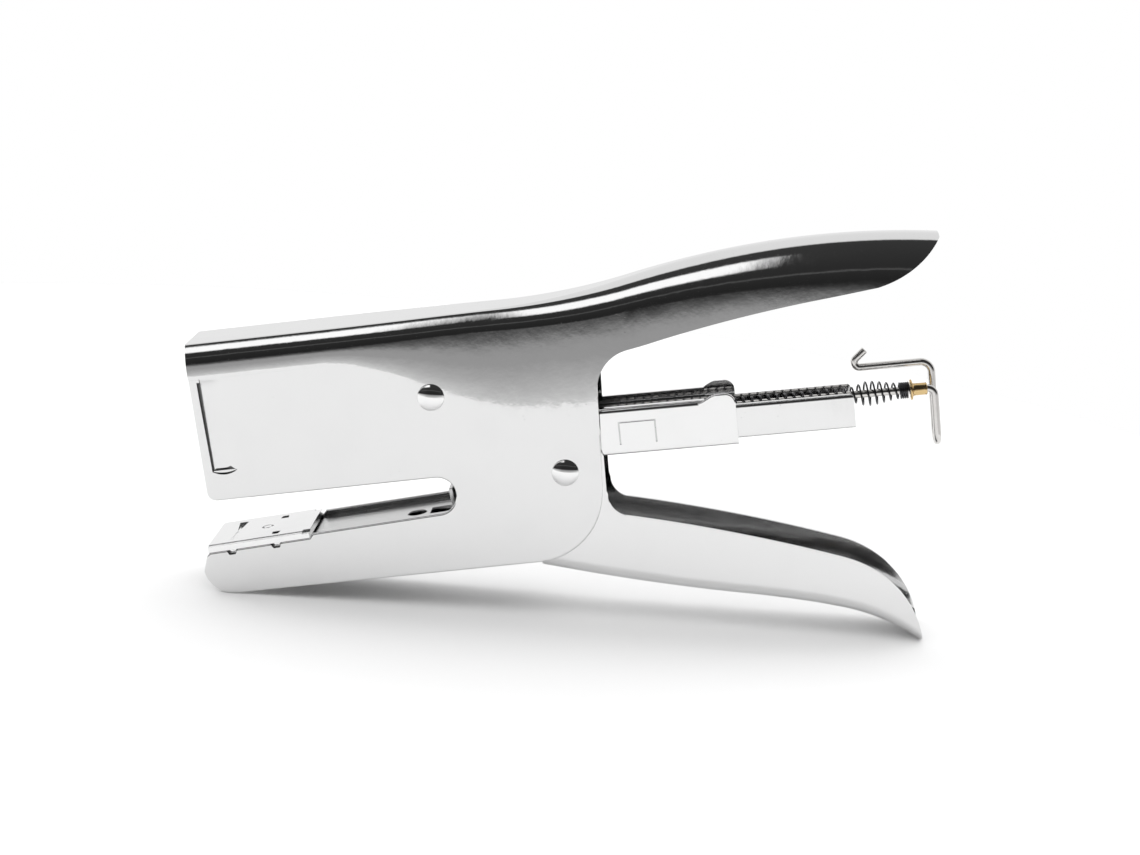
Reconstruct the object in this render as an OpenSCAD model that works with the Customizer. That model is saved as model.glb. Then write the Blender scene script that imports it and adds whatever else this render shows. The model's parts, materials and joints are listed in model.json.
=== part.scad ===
// Hand stapling pliers, standing nose-down on the lower jaw and the lower handle's tip.
// Millimetres, +Z up, +X towards the handles, origin under the middle of the overall box.
// Most pieces are drawn in the tool frame: its origin is the pivot rivet, X runs along
// the jaws and Z is square to them. The magazine group leans a little in that frame.

/* [Stand] */
// Angle between the jaws and the table when the tool stands
stand_tilt = 10.45; // [10.4:0.01:10.5]
// Pivot rivet, from the middle of the box towards the handles
pivot_x = 1.47; // [1.4:0.01:1.5]
// Pivot rivet, above the table
pivot_z = 33.83; // [33.8:0.01:33.9]

/* [Sheet-metal shell] */
// Width over the two side plates
shell_w = 20; // [20:0.1:20.4]
// Thickness of the pressed sheet
sheet = 1; // [0.9:0.05:1]
// Front edge of the upper jaw, ahead of the pivot
front_x = 80.4; // [80:0.1:81]
// Flat top of the shell, above the pivot
top_z = 37.5; // [37.2:0.1:38]
// Length of the upper handle's back, from the pivot to the beak
handle_x = 86.4; // [86:0.1:86.6]
// Top of the paper throat, above the pivot
throat_z = 1.9; // [1.8:0.1:2]
// Round end of the paper throat, radius
throat_r = 4.2; // [4.1:0.1:4.3]
// Bottom of the lower jaw, below the pivot
jaw_z = 20; // [19.8:0.1:20.2]
// Slope of the lower jaw's edge against the upper jaw
jaw_slope = 2.85; // [2.8:0.05:3]
// Depth that the guide louvers are pressed in
louver_d = 1.2; // [1:0.1:1.2]

/* [Rivets] */
// Shank diameter of the two rivets
shank_d = 3.6; // [3.5:0.05:3.65]
// Domed head diameter
head_d = 6; // [5.5:0.1:6.2]
// Head height
head_h = 1.2; // [1:0.1:1.4]
// Sleeve on the upper rivet, outside diameter
sleeve_d = 6; // [5.8:0.1:6]

/* [Lever] */
// Width over the lower handle
lever_w = 17.4; // [17.2:0.1:17.4]
// Driver pin, ahead of the pivot
pin_x = 64.5; // [64.4:0.1:64.6]
// Driver pin, above the pivot
pin_z = 28; // [27.9:0.1:28.1]
// Driver pin diameter
pin_d = 3; // [2.8:0.1:3]

/* [Magazine] */
// Angle the magazine leans tail-down against the jaws
mag_rest = 1; // [0.9:0.1:1.1]
// Width over the magazine
mag_w = 14.7; // [14.6:0.1:14.7]
// Magazine sheet thickness
mag_t = 0.8; // [0.7:0.05:0.8]
// Underside of the magazine, above the pivot
mag_z = 2.3; // [2.3:0.05:2.4]
// Height of the magazine channel
mag_h = 10.6; // [10.6:0.05:10.7]
// Tail of the magazine, behind the pivot
mag_x = 38.7; // [38.5:0.1:39]

/* [Staple rail] */
// Width over the inner rail, which the staples straddle
rail_w = 11.5; // [11.3:0.1:11.5]
// Length of the inner rail
rail_l = 114; // [113.5:0.5:114]
// Tail of the rail behind the pivot, pulled part-way out
rail_x = 64.6; // [64.4:0.1:64.8]

/* [Follower spring and pull wire] */
// Height of the wire above the pivot
rod_z = 9.4; // [9.3:0.05:9.4]
// Wire diameter
wire_d = 1.7; // [1.6:0.05:1.7]
// Outside diameter of the follower spring
spring_d = 3.7; // [3.6:0.1:3.8]
// Spring wire diameter
spring_wire = 0.55; // [0.5:0.05:0.6]
// Spring coils
spring_turns = 48; // [44:1:50]

/* [Hidden] */
eps = 0.01;
half = shell_w / 2;
inner = half - sheet;
lever_half = lever_w / 2;
lever_in = lever_half - sheet;
mag_half = mag_w / 2;
mag_in = mag_half - mag_t;
mag_top = mag_z + mag_h;
rail_half = rail_w / 2;
rail_z = mag_z + mag_t + 0.2;
rail_h = mag_top - mag_t - 1.2 - rail_z;
rail_top = rail_z + rail_h;
throat_x = 29;
jaw_edge_z = throat_z - 2 * throat_r;
stop_x = 27.4;
stop_z = 20.2;
driver_x = 76.9;
blade_t = 0.5;
blade_bottom = 13.2;
carrier_z0 = 25.8;
carrier_z1 = 33.6;
carrier_half = lever_in - 0.3;
bridge_half = 5.4;
eyelet_x = 77.3;
louver_x = [78, 75.3, 73];
louver_z = [8.8, 27, 30];
$fn = 48;

// ---------- frames and helpers ----------

module tool() {
    translate([pivot_x, 0, pivot_z]) rotate([0, -stand_tilt, 0]) children();
}

module mag() {
    tool() rotate([0, mag_rest, 0]) children();
}

// frame whose X runs along the lower jaw's edge, origin under the end of the throat
module jaw() {
    tool() translate([-throat_x, 0, jaw_edge_z]) rotate([0, -jaw_slope, 0]) children();
}

// extrudes a side view (x, z) across the width, from y0 to y1
module across(y0, y1) {
    translate([0, y1, 0]) rotate([90, 0, 0]) linear_extrude(y1 - y0) children();
}

module both_sides() {
    children();
    mirror([0, 1, 0]) children();
}

// round bar along Y
module bar(d, y0, y1) {
    translate([0, y1, 0]) rotate([90, 0, 0]) cylinder(d = d, h = y1 - y0);
}

function arc(cx, cz, r, a0, a1, n) =
    [for (i = [0:n]) [cx + r * cos(a0 + (a1 - a0) * i / n), cz + r * sin(a0 + (a1 - a0) * i / n)]];

// ---------- outlines ----------

// top of the shell: flat, then a hollow into the hump of the handle; t is the depth inside it
function shell_top(t) = concat(
    arc(-12, top_z + 143, 143 + t, 270, 282.15, 6),
    arc(58, top_z + 7.35 - 190, 190 - t, 102.15, 81.6, 10)
);

// lower jaw's edge at a distance x ahead of the throat's end, z above the edge
function jaw_point(x, z) = [
    -throat_x - x * cos(jaw_slope) - z * sin(jaw_slope),
    jaw_edge_z - x * sin(jaw_slope) + z * cos(jaw_slope)
];

module shell_side() {
    polygon(concat(
        arc(-front_x + 2, throat_z + 2, 2, 270, 180, 5),
        [[-front_x, top_z]],
        shell_top(0),
        arc(handle_x - 19, 57.6, 24.6, -39.3, -79.3, 8),
        arc(87.35, -287.2, 320.7, 94.5, 102, 6),
        arc(18, 17.1, 8.8, 102, 176.6, 7),
        [[8.2, 1.6]],
        arc(-8.2, -jaw_z + 15.8, 15.8, -3.4, -90, 9),
        arc(-77.5, -jaw_z + 6.5, 6.5, 270, 186, 6),
        [jaw_point(54.3, -2.4), jaw_point(53.4, -0.9), jaw_point(30, -0.9), jaw_point(29.2, 0)],
        arc(-throat_x, throat_z - throat_r, throat_r, -87.15, 90, 14)
    ));
}

module shell_hollow() {
    polygon(concat(
        [[-100, -60], [-100, top_z - sheet]],
        shell_top(sheet),
        [[100, 40.5], [100, -60]]
    ));
}

module lever_side() {
    polygon(concat(
        [[-9.5, 4.6], [-65.4, 16.3]],
        arc(-65.9, 18.8, 2.5, 260, 180, 4),
        arc(-63.9, 25.5, 4.5, 180, 90, 5),
        [[-43, 30], [-32.5, 18], [-24, 16.3], [-8, 12.5]],
        arc(0, 0, 9, 100, 15, 6),
        [[8.4, -5.6]],
        arc(13.6, -7, 5, 175, 250, 5),
        arc(-86.2, -405.5, 405.9, 76, 69, 5),
        arc(50.2, -50.2, 25.3, 68, 42, 5),
        arc(52, -48.6, 22.84, 40, 3, 6),
        arc(44.7, -80.7, 43.9, 48, 73.5, 6),
        arc(-18.3, -293.6, 266, 74, 78, 4),
        arc(140.4, 453.2, 497.5, 257.5, 253, 6),
        arc(-3.9, -18.8, 4, 250, 185, 4)
    ));
}

module lever_hollow() {
    polygon(concat(
        [[-100, -16], [-100, 60], [100, 60], [100, -48]],
        arc(44.7, -80.7, 43.9 + sheet, 46.5, 73.5, 6),
        arc(-18.3, -293.6, 266 + sheet, 74, 78, 4),
        arc(140.4, 453.2, 497.5 - sheet, 257.5, 253, 6),
        [[-6.9, -19.2], [-6.9, -16]]
    ));
}

// ---------- frame ----------

module frame_shell() {
    color([0.86, 0.87, 0.89]) tool() difference() {
        union() {
            difference() {
                across(-half, half) shell_side();
                across(-inner, inner) shell_hollow();
                both_sides() translate([-louver_x[0], inner - 1, louver_z[0]])
                    cube([louver_x[0] - louver_x[2], 3, louver_z[1] - louver_z[0]]);
            }
            both_sides() louver();
        }
        bar(shank_d, -half - 1, half + 1);
        translate([-stop_x, 0, stop_z]) bar(shank_d, -half - 1, half + 1);
        both_sides() for (x = [48, 37.8]) anvil_notch(x);
    }
}

module louver() {
    out = half - louver_d;
    translate([0, 0, louver_z[0]]) linear_extrude(louver_z[1] - louver_z[0]) polygon([
        [-louver_x[0], out], [-louver_x[1], out], [-louver_x[2], half], [-louver_x[2] + 0.5, half],
        [-louver_x[2] + 0.5, inner], [-louver_x[2], inner], [-louver_x[1], out - sheet],
        [-louver_x[0], out - sheet]
    ]);
    translate([-louver_x[0], 0, 0]) rotate([90, 0, 90]) linear_extrude(louver_x[0] - louver_x[2])
        polygon([
            [out - sheet, louver_z[1]], [out, louver_z[1]], [inner + eps, louver_z[1] + 2.5],
            [inner + eps, louver_z[2]], [inner, louver_z[2]]
        ]);
}

module anvil_notch(x) {
    p = jaw_point(x, -0.9);
    translate([p[0], inner - 0.5, p[1]]) rotate([0, -jaw_slope, 0])
        translate([0, 2.5, 0]) rotate([90, 0, 0]) linear_extrude(2.5)
            polygon([[-1.6, 0.3], [-0.7, -1.1], [0.7, -1.1], [1.6, 0.3]]);
}

module jaw_floor() {
    color([0.72, 0.73, 0.75]) jaw() difference() {
        union() {
            translate([-52.5, -inner, -2.5]) cube([68.5, 2 * inner, 1]);
            both_sides() translate([-50, inner - 1, -8]) cube([60, 1, 6]);
            translate([1.8, -2.4, -1.8]) cube([0.9, 4.8, 5.3]);
        }
        translate([-6.6, 0, -4]) cylinder(d = 4.4, h = 5);
        translate([-3.4, -2.4, -4]) cube([5.2, 4.8, 4]);
    }
}

module anvil_plate() {
    color([0.9, 0.91, 0.92]) jaw() difference() {
        union() {
            translate([-53.4, -half + 0.2, -0.9]) cube([23.4, shell_w - 0.4, 1.5]);
            both_sides() for (x = [48, 37.8]) translate([-x, inner + 0.1, -1.6]) rotate([90, 0, 0])
                translate([0, 0, -0.7]) linear_extrude(0.7)
                    polygon([[-1.1, 0.8], [-0.55, -0.1], [0.55, -0.1], [1.1, 0.8]]);
        }
        both_sides() translate([-48.1, 4.4, 0.6 + 3.35]) rotate([0, 90, 0])
            cylinder(r = 4, h = 1.6, center = true);
        both_sides() translate([-38.2, 5.9, -1.5]) cylinder(d = 1.7, h = 3);
        translate([-41.2, 0, 0.2]) cylinder(d = 1.4, h = 1);
    }
}

module rivet() {
    bar(shank_d, -half, half);
    both_sides() translate([0, half, 0]) rotate([-90, 0, 0]) difference() {
        r = (head_d * head_d / 4 + head_h * head_h) / (2 * head_h);
        translate([0, 0, head_h - r]) sphere(r = r, $fn = 64);
        translate([0, 0, -2 * r]) cube(4 * r, center = true);
    }
}

module pivot_rivet() {
    color([0.88, 0.88, 0.9]) tool() rivet();
}

module stop_rivet() {
    color([0.88, 0.88, 0.9]) tool() translate([-stop_x, 0, stop_z]) rivet();
}

module stop_sleeve() {
    color([0.55, 0.56, 0.58]) tool() translate([-stop_x, 0, stop_z]) difference() {
        bar(sleeve_d, -inner, inner);
        bar(shank_d, -inner - 1, inner + 1);
    }
}

// hexagonal wire section, twisted into a helix along +Z
module coil(r, wire, length, turns, per_turn) {
    a = 180 * wire * turns / length;
    linear_extrude(height = length, twist = -360 * turns, slices = turns * per_turn,
        segments = 6) polygon([
        [r * cos(a), r * sin(a)],
        [(r + wire / 2) * cos(a / 2), (r + wire / 2) * sin(a / 2)],
        [(r + wire / 2) * cos(a / 2), -(r + wire / 2) * sin(a / 2)],
        [r * cos(a), -r * sin(a)],
        [(r - wire / 2) * cos(a / 2), -(r - wire / 2) * sin(a / 2)],
        [(r - wire / 2) * cos(a / 2), (r - wire / 2) * sin(a / 2)]
    ]);
}

module lift_spring() {
    color([0.3, 0.3, 0.32]) jaw() translate([11.5, 0, -1.45]) coil(3, 0.8, 9.4, 5, 12);
}

// ---------- lever ----------

module lower_handle() {
    color([0.84, 0.85, 0.87]) tool() {
        difference() {
            across(-lever_half, lever_half) lever_side();
            across(-lever_in, lever_in) lever_hollow();
            bar(shank_d + 0.2, -half, half);
            across(-half, half) hull_slot();
        }
        translate([-52.5, -lever_in - eps, 29]) cube([8.5, 2 * lever_in + 2 * eps, 1]);
        translate([-55.4, -bridge_half, 29]) cube([5, 2 * bridge_half, 1]);
    }
}

// straight slot in the arms that the driver pin slides along
module hull_slot() {
    r = pin_d / 2 + 0.35;
    translate([-pin_x, pin_z]) circle(r = r);
    translate([-pin_x + 6, pin_z]) circle(r = r);
    translate([-pin_x, pin_z - r]) square([6, 2 * r]);
}

// ---------- driver ----------

module driver_blade() {
    color([0.6, 0.61, 0.63]) tool() difference() {
        translate([-driver_x - blade_t / 2, -mag_in + 0.15, blade_bottom])
            cube([blade_t, 2 * mag_in - 0.3, 20]);
        for (y = [-3, 3]) translate([-driver_x - 1, y, 30]) rotate([0, 90, 0]) cylinder(d = 2, h = 3);
    }
}

module driver_carrier() {
    color([0.5, 0.51, 0.53]) tool() difference() {
        union() {
            translate([-driver_x - blade_t / 2 - 1, -carrier_half, carrier_z0])
                cube([1, 2 * carrier_half, carrier_z1 - carrier_z0]);
            both_sides() across(carrier_half - 1, carrier_half) polygon([
                [-driver_x - blade_t / 2 - 1, carrier_z0], [-61, carrier_z0], [-61, carrier_z1 - 3.2],
                [-63, carrier_z1 - 1.6], [-70, carrier_z1], [-driver_x - blade_t / 2 - 1, carrier_z1]
            ]);
        }
        translate([-pin_x, 0, pin_z]) bar(pin_d, -half, half);
        for (y = [-3, 3]) translate([-driver_x - 2, y, 30]) rotate([0, 90, 0]) cylinder(d = 2, h = 3);
    }
}

module driver_pin() {
    color([0.65, 0.66, 0.68]) tool() translate([-pin_x, 0, pin_z])
        bar(pin_d, -lever_half + 0.1, lever_half - 0.1);
}

module driver_rivets() {
    color([0.7, 0.7, 0.72]) tool() for (y = [-3, 3])
        translate([-driver_x, y, 30]) rotate([0, 90, 0]) {
            translate([0, 0, -blade_t / 2 - 1]) cylinder(d = 2, h = blade_t + 1);
            translate([0, 0, -blade_t / 2 - 1.6]) cylinder(d = 3.4, h = 0.6);
            translate([0, 0, blade_t / 2]) cylinder(d = 3.4, h = 0.5);
        }
}

// ---------- magazine ----------

// round rear of the magazine's ears, from their top down to the tail
ear_back = arc(mag_x - 2.2, mag_top - 1.15, 2.2, 90, 0, 6);

module magazine_channel() {
    color([0.82, 0.83, 0.85]) mag() difference() {
        union() {
            translate([-78, -mag_half, mag_z]) cube([78 + mag_x, mag_w, mag_h]);
            both_sides() across(mag_in, mag_half) {
                polygon(concat([[mag_x - 6.8, mag_top - 0.6], [mag_x - 4.6, mag_top + 1.05]], ear_back));
                translate([0, 0]) circle(d = 8);
                translate([-4, 0]) square([8, mag_z + 1]);
            }
        }
        translate([-80, -mag_in, mag_z + mag_t]) cube([200, 2 * mag_in, mag_h - 2 * mag_t]);
        translate([-80, -3.9, mag_z + 2]) cube([200, 7.8, mag_h]);
        translate([-20, -5.4, mag_z + 2]) cube([100, 10.8, mag_h]);
        translate([-80, -mag_in, mag_z - 1]) cube([5.5, 2 * mag_in, mag_h + 3]);
        bar(shank_d + 0.2, -half, half);
        translate([mag_x - 6.8, -mag_in, mag_top - mag_t - eps]) cube([10, 2 * mag_in, 3]);
        across(-half, half) polygon(concat(
            [[mag_x - 2.2, mag_top + 2], [mag_x + 1, mag_top + 2], [mag_x + 1, mag_z - 1],
            [mag_x, mag_z - 1]], [for (i = [len(ear_back) - 1:-1:0]) ear_back[i]]
        ));
    }
}

module magazine_nose() {
    color([0.7, 0.71, 0.73]) mag() {
        translate([-78.8, -mag_half, mag_z]) cube([0.8, mag_w, mag_h - 1.4]);
    }
}

module clamp_spring() {
    color([0.3, 0.3, 0.32]) mag() translate([-49.8, 0, mag_top + 0.06]) coil(4.9, 0.9, 15, 5, 14);
}

// ---------- staple rail, pusher, rod ----------

module core_rail() {
    color([0.8, 0.81, 0.83]) mag() difference() {
        translate([rail_x - rail_l, -rail_half, rail_z]) cube([rail_l, rail_w, rail_h]);
        translate([rail_x - rail_l - 1, -rail_half + 0.7, rail_z + 0.7])
            cube([rail_l + 2, rail_w - 1.4, rail_h - 1.4]);
        translate([rail_x - rail_l - 1, -4.6, rail_z + 2]) cube([rail_l + 2, 9.2, rail_h]);
    }
}

module staple_pusher() {
    x0 = rail_x - rail_l + 0.9;
    color([0.45, 0.46, 0.48]) mag() difference() {
        union() {
            translate([x0, -rail_half - 0.6, rail_z + 1.6]) cube([8, rail_w + 1.2, rail_h - 0.7]);
            translate([x0 + 7, -3.4, rod_z - 2.2]) cube([1, 6.8, rail_top - rod_z + 2.4]);
        }
        translate([x0 - 1, -rail_half - 0.1, rail_z + 1]) cube([8, rail_w + 0.2, rail_h - 0.9]);
        translate([x0 + 6.5, -rail_half - 0.1, rail_z + 1]) cube([3, rail_half - 3.3, rail_h - 0.9]);
        translate([x0 + 6.5, 3.4, rail_z + 1]) cube([3, rail_half - 3.3, rail_h - 0.9]);
        translate([x0 + 6.5, -3.5, rail_z + 1]) cube([3, 7, rod_z - 2.2 - rail_z - 1]);
        translate([x0 + 6, 0, rod_z]) rotate([0, 90, 0]) cylinder(d = 2.4, h = 3);
    }
}

module follower_spring() {
    x0 = rail_x - rail_l + 9;
    color([0.1, 0.1, 0.11]) mag() translate([x0, 0, rod_z]) rotate([0, 90, 0])
        coil((spring_d - spring_wire) / 2, spring_wire, eyelet_x - x0 - 0.05, spring_turns, 8);
}

module spring_eyelet() {
    color([0.8, 0.6, 0.25]) mag() translate([eyelet_x, 0, rod_z]) rotate([0, 90, 0]) difference() {
        union() {
            cylinder(d = 4.6, h = 0.6);
            cylinder(d = 2.8, h = 3.8);
        }
        translate([0, 0, -1]) cylinder(d = wire_d, h = 6);
    }
}

// quarter or part ring of wire in the XZ plane, swept from angle a0 to a1
module bend(r, a0, a1) {
    rotate([90, 0, 0]) rotate([0, 0, a0]) rotate_extrude(angle = a1 - a0) translate([r, 0])
        circle(d = wire_d, $fn = 24);
}

module pull_wire() {
    back = 82.7;
    elbow = 1.6;
    drop = -1;
    y2 = 4.6;
    run = 14.45;
    hook_x = 67;
    hook_r = 1.2;
    corner = 2.4;
    top_x = back - corner;
    color([0.62, 0.61, 0.6]) mag() {
        translate([-39, 0, rod_z]) rotate([0, 90, 0]) cylinder(d = wire_d, h = 39 + back - elbow, $fn = 24);
        translate([back - elbow, 0, rod_z - elbow]) bend(elbow, 0, 90);
        translate([back, 0, drop]) cylinder(d = wire_d, h = rod_z - elbow - drop, $fn = 24);
        translate([back, y2 / 2, drop]) rotate([0, 0, 90]) bend(y2 / 2, 180, 360);
        translate([back, y2, drop]) cylinder(d = wire_d, h = run - corner - drop, $fn = 24);
        translate([top_x, y2, run - corner]) bend(corner, 0, 90);
        translate([hook_x, y2, run]) rotate([0, 90, 0])
            cylinder(d = wire_d, h = top_x - hook_x, $fn = 24);
        translate([hook_x, y2, run + hook_r]) mirror([0, 0, 1]) bend(hook_r, 90, 230);
        translate([hook_x + hook_r * cos(130), y2, run + hook_r + hook_r * sin(130)]) {
            sphere(d = wire_d + 0.08, $fn = 24);
            rotate([0, 50, 0]) translate([0, 0, 0.15]) cylinder(d = wire_d, h = 2.6, $fn = 24);
        }
    }
}

frame_shell();
jaw_floor();
anvil_plate();
pivot_rivet();
stop_rivet();
stop_sleeve();
lift_spring();
lower_handle();
driver_blade();
driver_carrier();
driver_pin();
driver_rivets();
magazine_channel();
magazine_nose();
clamp_spring();
core_rail();
staple_pusher();
pull_wire();
spring_eyelet();
follower_spring();
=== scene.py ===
import json
import math

import bmesh
import bpy
from mathutils import Matrix, Vector

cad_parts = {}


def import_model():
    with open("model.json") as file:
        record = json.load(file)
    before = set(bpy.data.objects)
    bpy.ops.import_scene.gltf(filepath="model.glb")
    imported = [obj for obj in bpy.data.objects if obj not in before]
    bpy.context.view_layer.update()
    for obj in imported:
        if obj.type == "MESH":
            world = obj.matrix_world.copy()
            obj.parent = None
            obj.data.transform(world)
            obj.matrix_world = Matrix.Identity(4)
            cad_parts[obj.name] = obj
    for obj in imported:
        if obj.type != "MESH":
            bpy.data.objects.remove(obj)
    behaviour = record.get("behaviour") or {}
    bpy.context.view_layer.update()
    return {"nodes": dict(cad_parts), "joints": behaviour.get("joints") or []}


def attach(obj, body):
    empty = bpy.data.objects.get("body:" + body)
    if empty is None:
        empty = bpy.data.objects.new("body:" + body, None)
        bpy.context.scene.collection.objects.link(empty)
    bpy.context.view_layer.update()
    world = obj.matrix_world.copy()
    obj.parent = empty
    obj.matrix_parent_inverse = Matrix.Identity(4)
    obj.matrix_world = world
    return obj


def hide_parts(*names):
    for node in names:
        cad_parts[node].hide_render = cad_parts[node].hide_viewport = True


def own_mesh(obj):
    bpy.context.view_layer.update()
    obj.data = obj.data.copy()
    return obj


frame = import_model()

# Hand stapling pliers of chromed sheet metal. Pieces are drawn in millimetres in the part's
# own frames (tool, magazine, jaw), cut and bevelled there, and then put into the row frame.

# ---------- sizes, in millimetres ----------

MM = 0.001
joints = {j["name"]: j for j in frame["joints"]}
PIVOT = Vector(joints["lever_hinge"]["pos_m"]) / MM
TILT = math.degrees(math.asin(joints["driver_slide"]["axis"][0]))
LEAN = math.degrees(math.asin(joints["rail_slide"]["axis"][2]))
JAW_SLOPE = 2.85

SHEET = 1.0
SHELL_HALF = 10.0
SHELL_IN = SHELL_HALF - SHEET
SHELL_FRONT = -80.4
SHELL_TOP = 37.5
HANDLE_END = 86.4
THROAT_Z = 1.9
THROAT_R = 4.2
THROAT_X = -29.0
JAW_BOTTOM = -20.0
JAW_EDGE = THROAT_Z - 2 * THROAT_R

LEVER_HALF = 8.7
LEVER_IN = LEVER_HALF - SHEET
LEVER_FOLD = 3.4
PIN_D = 3.0
PIN_AT = (-64.5, 28.0)
PIN_TRAVEL = 6.0

MAG_HALF = 7.35
MAG_T = 0.8
MAG_Z = 2.3
MAG_TOP = 12.9
MAG_TAIL = 38.7
RAIL_HALF = 5.75
RAIL_T = 0.7
RAIL_Z = 3.3
RAIL_TOP = 10.9
RAIL_TAIL = 64.6
RAIL_L = 114.0
ROD_Z = 9.4
WIRE_R = 0.85
EYELET_X = 77.3

STOP_AT = (-27.4, 20.2)
HEAD_R = 3.0
HEAD_H = 1.2
SHANK_R = 1.8

# distances from the jaw's root to the anvil's crimped tabs, which sit in notches of the shell
CRIMPS = (48, 37.8)


def turned(parent, degrees):
    """A frame turned nose-up about Y inside another."""
    return parent @ Matrix.Rotation(math.radians(-degrees), 4, "Y")


TOOL = turned(Matrix.Scale(MM, 4) @ Matrix.Translation(PIVOT), TILT)
MAG = turned(Matrix.Scale(MM, 4) @ Matrix.Translation(PIVOT), LEAN)
JAW = turned(TOOL @ Matrix.Translation((THROAT_X, 0, JAW_EDGE)), JAW_SLOPE)


# ---------- curves ----------

def arc(cx, cz, r, a0, a1, n):
    """Points along an arc from angle a0 to a1, in degrees."""
    angles = [math.radians(a0 + (a1 - a0) * i / n) for i in range(n + 1)]
    return [(cx + r * math.cos(a), cz + r * math.sin(a)) for a in angles]


def ease(t):
    t = min(1.0, max(0.0, t))
    return t * t * (3 - 2 * t)


def spread(a, b, n):
    return [a + (b - a) * i / n for i in range(n + 1)]


def span(side, a, b):
    """The stretch of y from a to b on the near (-1) or the far (1) side, low end first."""
    return sorted((side * a, side * b))


def interpolate(points, x):
    """Height of a polyline, sorted along x, at x; it runs on straight past both ends."""
    pairs = list(zip(points, points[1:]))
    for (x0, z0), (x1, z1) in pairs:
        if x <= x1:
            break
    return z0 + (z1 - z0) * (x - x0) / (x1 - x0)


# ---------- meshes ----------

def to_object(name, bm):
    bmesh.ops.recalc_face_normals(bm, faces=bm.faces)
    mesh = bpy.data.meshes.new(name)
    bm.to_mesh(mesh)
    bm.free()
    obj = bpy.data.objects.new(name, mesh)
    bpy.context.scene.collection.objects.link(obj)
    return obj


def prism(outline, y0, y1, name="cutter"):
    """A side view (x, z) extruded across the width from y0 to y1."""
    bm = bmesh.new()
    near = [bm.verts.new((x, y0, z)) for x, z in outline]
    far = [bm.verts.new((x, y1, z)) for x, z in outline]
    bm.faces.new(near)
    bm.faces.new(far[::-1])
    for i in range(len(near)):
        j = (i + 1) % len(near)
        bm.faces.new((near[i], near[j], far[j], far[i]))
    return to_object(name, bm)


def block(x0, x1, y0, y1, z0, z1, name="cutter"):
    return prism([(x0, z0), (x1, z0), (x1, z1), (x0, z1)], y0, y1, name)


def skin(rings, name):
    """Joins closed rings of points, one after another, with quads all round and flat ends."""
    bm = bmesh.new()
    rows = [[bm.verts.new(p) for p in ring] for ring in rings]
    count = len(rows[0])
    for a, b in zip(rows, rows[1:]):
        for i in range(count):
            j = (i + 1) % count
            bm.faces.new((a[i], a[j], b[j], b[i]))
    bm.faces.new(rows[0])
    bm.faces.new(rows[-1][::-1])
    return to_object(name, bm)


def strip_tunnel(sections, name):
    """Skins sections of an open bent sheet: each is (outer points, inner points), of one length.
    The ends are closed by quads between the two."""
    bm = bmesh.new()
    rows = []
    for outer, inner in sections:
        rows.append([[bm.verts.new(p) for p in side] for side in (outer, inner)])
    count = len(rows[0][0])
    for a, b in zip(rows, rows[1:]):
        for side in (0, 1):
            for i in range(count - 1):
                bm.faces.new((a[side][i], a[side][i + 1], b[side][i + 1], b[side][i]))
        for i in (0, count - 1):
            bm.faces.new((a[0][i], a[1][i], b[1][i], b[0][i]))
    for outer, inner in (rows[0], rows[-1]):
        for i in range(count - 1):
            bm.faces.new((outer[i], outer[i + 1], inner[i + 1], inner[i]))
    return to_object(name, bm)


def lathe(profile, name, sides=64):
    """Turns a profile of (radius, height along Y) points about the Y axis."""
    bm = bmesh.new()
    rows = []
    for r, y in profile:
        if r < 1e-6:
            rows.append([bm.verts.new((0, y, 0))])
        else:
            ring = [2 * math.pi * k / sides for k in range(sides)]
            rows.append([bm.verts.new((r * math.cos(a), y, r * math.sin(a))) for a in ring])
    for a, b in zip(rows, rows[1:]):
        for k in range(sides):
            j = (k + 1) % sides
            corners = [a[k % len(a)], a[j % len(a)], b[j % len(b)], b[k % len(b)]]
            unique = list(dict.fromkeys(corners))
            if len(unique) > 2:
                bm.faces.new(unique)
    return to_object(name, bm)


def sweep(path, radius, name, sides):
    """A round bar along a path of points; the ends have a chamfer of a quarter of the radius."""
    points = [Vector(p) for p in path]
    first, last = points[0], points[-1]
    d0, d1 = (points[1] - first).normalized(), (last - points[-2]).normalized()
    chamfer = 0.25 * radius
    points = [first, first + d0 * chamfer] + points[1:-1] + [last - d1 * chamfer, last]
    steps = [(b - a).normalized() for a, b in zip(points, points[1:])]
    between = [(a + b).normalized() for a, b in zip(steps, steps[1:])]
    tangents = [steps[0]] + between + [steps[-1]]
    across = tangents[0].orthogonal().normalized()
    rings = []
    for k, (p, t) in enumerate(zip(points, tangents)):
        across = (across - t * across.dot(t)).normalized()
        other = t.cross(across)
        r = radius - chamfer if k in (0, len(points) - 1) else radius
        angles = [2 * math.pi * i / sides for i in range(sides)]
        rings.append([p + (across * math.cos(a) + other * math.sin(a)) * r for a in angles])
    return skin(rings, name)


def evaluated(obj):
    """Swaps the object's mesh for the result of its modifiers."""
    graph = bpy.context.evaluated_depsgraph_get()
    mesh = bpy.data.meshes.new_from_object(obj.evaluated_get(graph))
    obj.modifiers.clear()
    old, obj.data = obj.data, mesh
    bpy.data.meshes.remove(old)
    return obj


def combine(obj, other, operation):
    m = obj.modifiers.new("boolean", "BOOLEAN")
    m.operation, m.solver, m.object = operation, "EXACT", other
    evaluated(obj)
    bpy.data.objects.remove(other)
    return obj


def cut(obj, *cutters):
    for c in cutters:
        combine(obj, c, "DIFFERENCE")
    return obj


def fuse(obj, *others):
    for o in others:
        combine(obj, o, "UNION")
    return obj


def mirrored(obj):
    """A copy on the other side of the middle plane."""
    bm = bmesh.new()
    bm.from_mesh(obj.data)
    bmesh.ops.transform(bm, matrix=Matrix.Scale(-1, 4, (0, 1, 0)), verts=bm.verts)
    bmesh.ops.reverse_faces(bm, faces=bm.faces)
    return to_object(obj.name + "_far", bm)


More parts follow.
